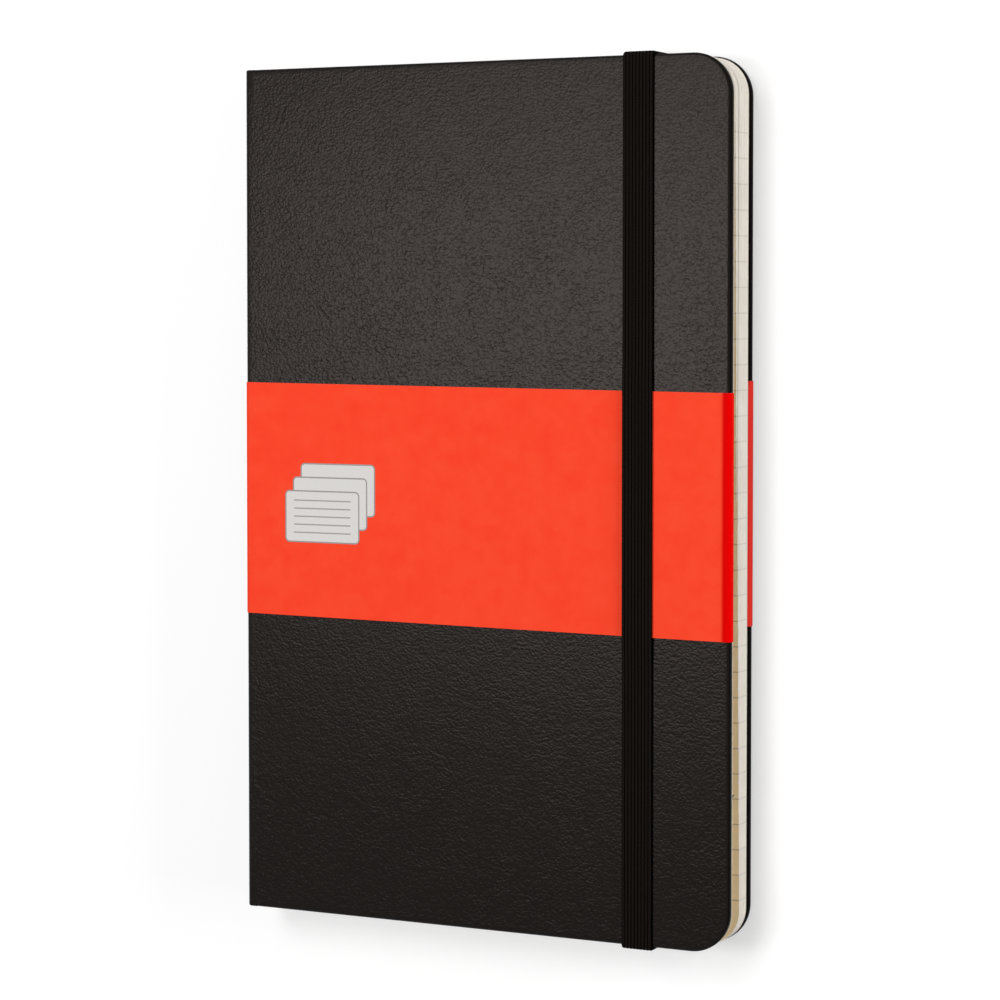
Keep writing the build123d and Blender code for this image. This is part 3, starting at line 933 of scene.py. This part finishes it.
def strap_path():
    """The strap's middle line in Y and Z: slit, back, head edge, front, tail edge, back, slit.

    Over the front it rises by nearly the band's thickness where the band lies under it."""
    stub_z = back_low[2] + STRAP / 2
    strand_z = (strand_low[2] + strand_high[2]) / 2
    lift = BAND - STRAP_AIR
    bend_y = wrap_high[1] - STRAP / 2 - STRAP_BEND
    tuck_y = half_height - SLIT_INSET - SLIT_TUCK
    low_corner = arc((bend_y, stub_z + STRAP_BEND), STRAP_BEND, -90, 0)
    high_corner = arc((bend_y, strand_z - lift - STRAP_BEND), STRAP_BEND, 0, 90)
    head = np.concatenate([
        run((tuck_y, stub_z), (bend_y, stub_z), steps=6),
        low_corner[:-1],
        run(low_corner[-1], high_corner[0], steps=12),
        high_corner[:-1],
    ])
    front_y = np.linspace(bend_y, -bend_y, STRAP_STEPS)
    clear = np.maximum(np.maximum(front_y - band_high[1], band_low[1] - front_y), 0)
    sink = lift * ease_in_out((clear - STRAP_BRIDGE) / STRAP_FALL)
    front = np.stack([front_y, strand_z - sink], axis=1)
    return np.concatenate([head, front, head[::-1] * (-1, 1)])


def elastic_strap():
    """The strap in one piece: its ribbed section carried along the path, square to it."""
    path = strap_path()
    normals = -path_normals(path)
    section, across = strap_section(STRAP_RIBS * RIB_POINTS + 1)
    rows, around = len(path), len(section)
    x = np.broadcast_to(strap_x + section[None, :, 0], (rows, around))
    y = path[:, None, 0] + normals[:, None, 0] * section[None, :, 1]
    z = path[:, None, 1] + normals[:, None, 1] * section[None, :, 1]
    points, faces = loft(np.stack([x, y, z], axis=2))
    lay = np.zeros((rows, around, 3))
    lay[..., 0] = across
    lay[..., 1] = path_length(path)[:, None]
    strap = make_piece("elastic_strap", points, faces, [elastic],
                       marks={"lay": lay.reshape(-1, 3)}, crease=70)
    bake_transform(strap)
    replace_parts(strap, "strap_strand", "strap_head_wrap", "strap_tail_wrap")


elastic_strap()


# Paper band


def band_path(face_z, flap_z, hinge_z, side):
    """Half of the band's middle line in X and Z: spine, crease, panel, fold round the fore edge, flap."""
    spine = spine_low[0] - BAND / 2
    edge = fore_x + BAND / 2
    fold_x = edge - BAND_FOLD
    flap_x = fore_x - BAND_FLAP
    outer = face_z - side * BAND_FOLD
    inner = flap_z + side * BAND_FOLD
    crease = arc((hinge_x, hinge_z), HINGE_RADIUS + BAND / 2, 180, 180 - 90 * side)
    near = arc((fold_x, outer), BAND_FOLD, 90 * side, 0)
    far = arc((fold_x, inner), BAND_FOLD, 0, -90 * side)
    return np.concatenate([
        run((spine, middle_z), (spine, hinge_z), steps=8),
        crease[:-1],
        run((hinge_x, face_z), (fold_x - FINE_RUN, face_z), steps=80),
        run((fold_x - FINE_RUN, face_z), (fold_x, face_z), steps=25),
        near[:-1],
        run((edge, outer), (edge, inner), steps=4),
        far[:-1],
        run((fold_x, flap_z), (flap_x, flap_z), steps=30),
        [[flap_x, flap_z]],
    ])


def paper_band(name, face_z, flap_z, hinge_z, side, off_at_fore, finish, replaced):
    """One half of the band: its path carried from tail to head, red outside, bare inside and on the cut.

    The half runs askew, off the middle by one length at the spine and by another at the fore edge. In front
    the panel is slack between the strap and the fold, more so towards its cut sides."""
    path = band_path(face_z, flap_z, hinge_z, side)
    middle, normal = carried(path, np.linspace(band_low[1], band_high[1], BAND_COLUMNS), axis=1)
    x, y, z = np.moveaxis(middle, 2, 0)
    along = (y - band_low[1]) / (band_high[1] - band_low[1])
    panel = np.abs(z - face_z) < SAME_LEVEL
    past_strap = np.clip((x - strap_x - SLACK_START) / SLACK_RISE, 0, 1)
    before_fold = np.clip((fore_x - SLACK_END - x) / SLACK_FALL, 0, 1)
    slack = SLACK * past_strap * before_fold * (1 - np.sin(math.pi * along)) * (side > 0)
    askew = np.interp(x, [hinge_x, fore_x], [OFF_AT_SPINE, off_at_fore])
    laid = np.stack([x, y + askew, z + np.where(panel, slack, 0)], axis=2)
    points, faces, kinds = thick_sheet(laid, normal * side, BAND)
    # Where the painted shade of the fold round the fore edge lies
    fold = ease_in_out((points[:, 0] - fore_x + FOLD_SHADE_START) / FOLD_SHADE_EASE)
    paper = make_piece(name, points, faces, [finish, cut_paper], kinds=np.minimum(kinds, 1),
                       marks={"fold": fold}, crease=40)
    # The paper throws no red light on the floor
    paper.visible_diffuse = False
    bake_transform(paper)
    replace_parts(paper, *replaced)


paper_band("band_over_front", band_high[2] - BAND / 2, band_low[2] + BAND / 2, front_hinge_z, 1,
           FRONT_OFF_AT_FORE, band_red,
           ["band_front", "band_spine"])
paper_band("band_under_back", under_low[2] + BAND / 2, under_high[2] - BAND / 2, back_hinge_z, -1,
           BACK_OFF_AT_FORE, band_red_back,
           ["band_back"])


# Ribbon and pocket


def folded_strip(name, path, sides, x_first, thickness, finish, body, replaced):
    """A strip whose profile is a path in Y and Z, carried along X through the given sides.

    Its lay mark holds the place in X and the length along the path, X first or last."""
    middle, normal = carried(path, sides, axis=0)
    points, faces, _ = thick_sheet(middle, normal, thickness)
    across, along = middle[..., 0], path_length(path)[:, None]
    lay = np.zeros(middle.shape)
    lay[..., 0], lay[..., 1] = (across, along) if x_first else (along, across)
    strip = make_piece(name, points, faces, [finish],
                       marks={"lay": np.concatenate([lay, lay]).reshape(-1, 3)}, crease=50)
    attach(strip, body)
    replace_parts(strip, replaced)
    return strip


def folded_path(start, turn, end, low_z, high_z, thickness, steps):
    """A strip's path in Y and Z: out on a low level, round a half circle and back on a high level.

    The strip's outside reaches from the low to the high Z, and as far as the turn."""
    fold = (high_z - low_z - thickness) / 2
    turn_y = turn + fold + thickness / 2
    near_z = low_z + thickness / 2
    far_z = high_z - thickness / 2
    return np.concatenate([
        run((start, near_z), (turn_y, near_z), steps[0]),
        arc((turn_y, near_z + fold), fold, 270, 90)[:-1],
        run((turn_y, far_z), (end, far_z), steps[1]),
        [[end, far_z]],
    ])


def bookmark():
    """The ribbon: down from the head, a tight round turn at the tail, and a length back up."""
    low, high = span("bookmark_ribbon")
    path = folded_path(high[1], low[1], low[1] + RIBBON_FOLD, low[2], high[2], RIBBON, steps=(80, 30))
    sides = np.linspace(low[0], high[0], RIBBON_COLUMNS)
    folded_strip("ribbon", path, sides, True, RIBBON, ribbon_weave, "leaves_n", "bookmark_ribbon")


bookmark()


def gusset(end, side):
    """A strip of cloth folded once along X, its round fold towards the middle of the pocket."""
    low, high = span(f"pocket_gusset_{end}")
    inner, outer = np.sort(side * np.array([low[1], high[1]]))
    path = folded_path(outer, inner, outer, low[2], high[2], GUSSET, steps=(14, 14)) * (side, 1)
    sides = np.linspace(low[0], high[0], GUSSET_COLUMNS)
    cloth = folded_strip(f"gusset_{end}", path, sides, False, GUSSET, gusset_cloth,
                         "back_cover", f"pocket_gusset_{end}")


gusset("head", 1)
gusset("tail", -1)


# Printing on the band: a small fan of ruled index cards


def rounded_card(centre, width, height, radius):
    """A card's outline: four quarter circles joined by straight sides."""
    x, y = width / 2 - radius, height / 2 - radius
    corners = [arc((right * x, up * y), radius, turn, turn + 90, steps=6)
               for right, up, turn in ((1, -1, -90), (1, 1, 0), (-1, 1, 90), (-1, -1, 180))]
    return np.concatenate(corners) + np.asarray(centre)


def card_print():
    """Three cards stepped up to the right, each a pale film on a grey one, with rules on the front one."""
    pale, grey = 0, 1
    top = band_high[2] + INK_CLEAR
    plates = []
    for step in (2, 1, 0):
        base = top + CARD_LIFT * (2 - step)
        for kind, inset, low in ((grey, 0.0, base), (pale, CARD_LINE, base + INK)):
            size = CARD_SIZE - 2 * inset
            outline = rounded_card(CARD_PLACE + CARD_STEP * step, *size, CARD_CORNER - inset)
            plates.append((outline, low, low + INK, kind))
    rule_low = top + 2 * CARD_LIFT + 2 * INK
    for number in range(CARD_RULES):
        up = CARD_RULE_TOP - CARD_RULE_PITCH * number
        outline = rounded_card(CARD_PLACE + (0.0, up), *CARD_RULE)
        plates.append((outline, rule_low, rule_low + CARD_RULE_INK, grey))
    outlines, lows, highs, kinds = zip(*plates)
    points, faces = prisms(outlines, lows, highs)
    faces_per_plate = [len(outline) + 2 for outline in outlines]
    motif = make_piece("band_print", points, faces, [pale_ink, grey_ink],
                       kinds=np.repeat(kinds, faces_per_plate))
    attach(motif, "front_cover")


card_print()


# Floor, light and camera


def looked_at(tree):
    """1 where the camera, a reflection or glass looks, and 0 for light on its way."""
    ray = add_node(tree, "ShaderNodeLightPath").outputs
    seen = maths(tree, "MAXIMUM", ray["Is Camera Ray"], ray["Is Glossy Ray"])
    return maths(tree, "MAXIMUM", seen, ray["Is Transmission Ray"])


def floor():
    """A pale floor that catches the soft shadow and reads white to the camera.

    Its own glow is weaker near the book, and makes it white further out, where the lamps don't reach."""
    reach = FLOOR_REACH
    mesh = bpy.data.meshes.new("floor")
    mesh.from_pydata([(-reach, -reach, 0), (reach, -reach, 0), (reach, reach, 0), (-reach, reach, 0)], [],
                     [[0, 1, 2, 3]])
    material = bpy.data.materials.new("floor_finish")
    material.use_nodes = True
    tree = material.node_tree
    tree.nodes.remove(tree.nodes["Principled BSDF"])
    matt = add_node(tree, "ShaderNodeBsdfDiffuse", {"Color": (FLOOR_TONE, FLOOR_TONE, FLOOR_TONE, 1)})
    place = add_node(tree, "ShaderNodeTexCoord").outputs["Object"]
    away = add_node(tree, "ShaderNodeVectorMath", {0: place}, operation="LENGTH").outputs["Value"]
    level = ease(tree, away, GLOW_NEAR, GLOW_FAR, to_low=GLOW_LOW)
    strength = times(tree, looked_at(tree), level)
    glow = add_node(tree, "ShaderNodeEmission", {"Color": (1, 1, 1, 1), "Strength": strength})
    both = add_node(tree, "ShaderNodeAddShader", {0: matt.outputs[0], 1: glow.outputs[0]})
    tree.links.new(both.outputs[0], tree.nodes["Material Output"].inputs["Surface"])
    mesh.materials.append(material)
    plane = new_object("floor", mesh)


def lamp(name, place, sides, power, mirrored=True):
    """A rectangular soft light at a place, turned to the book, and mirrored in it or not."""
    light = bpy.data.lights.new(name, "AREA")
    light.shape = "RECTANGLE"
    light.size, light.size_y = sides
    light.energy = power
    carrier = new_object(name, light)
    carrier.location = place
    carrier.visible_glossy = mirrored
    carrier.rotation_euler = (carrier.location - LAMP_AIM).to_track_quat("Z", "Y").to_euler()


def surroundings():
    """An even pale room: dim as a light, white where the camera, a reflection or glass looks at it."""
    world = bpy.data.worlds.new("room")
    bpy.context.scene.world = world
    world.use_nodes = True
    tree = world.node_tree
    levels = {"Value": looked_at(tree), "To Min": ROOM_LIGHT, "To Max": 1.0}
    strength = add_node(tree, "ShaderNodeMapRange", levels)
    backdrop = tree.nodes["Background"].inputs
    tree.links.new(strength.outputs["Result"], backdrop["Strength"])
    backdrop["Color"].default_value = (1, 1, 1, 1)


def camera():
    """The photograph's view: from the fore-edge side and a little to the head, with a long lens."""
    lens = bpy.data.cameras.new("camera")
    lens.sensor_width = 36.0
    lens.lens = CAMERA_LENS
    lens.shift_y = CAMERA_SHIFT
    lens.clip_start = 0.01
    carrier = new_object("camera", lens)
    carrier.location = CAMERA_PLACE
    carrier.rotation_euler = [math.radians(turn) for turn in CAMERA_TURN]
    bpy.context.scene.camera = carrier


floor()
surroundings()
lamp("key_light", place=(-0.40, 0.04, 1.05), sides=(0.28, 0.50), power=4.4)
lamp("head_light", place=(-0.20, 0.50, 1.00), sides=(0.5, 0.5), power=4.8)
lamp("fill_light", place=(1.0, 0.15, 0.27), sides=(0.7, 0.4), power=7.4, mirrored=False)
camera()
bpy.context.scene.view_settings.view_transform = "Standard"
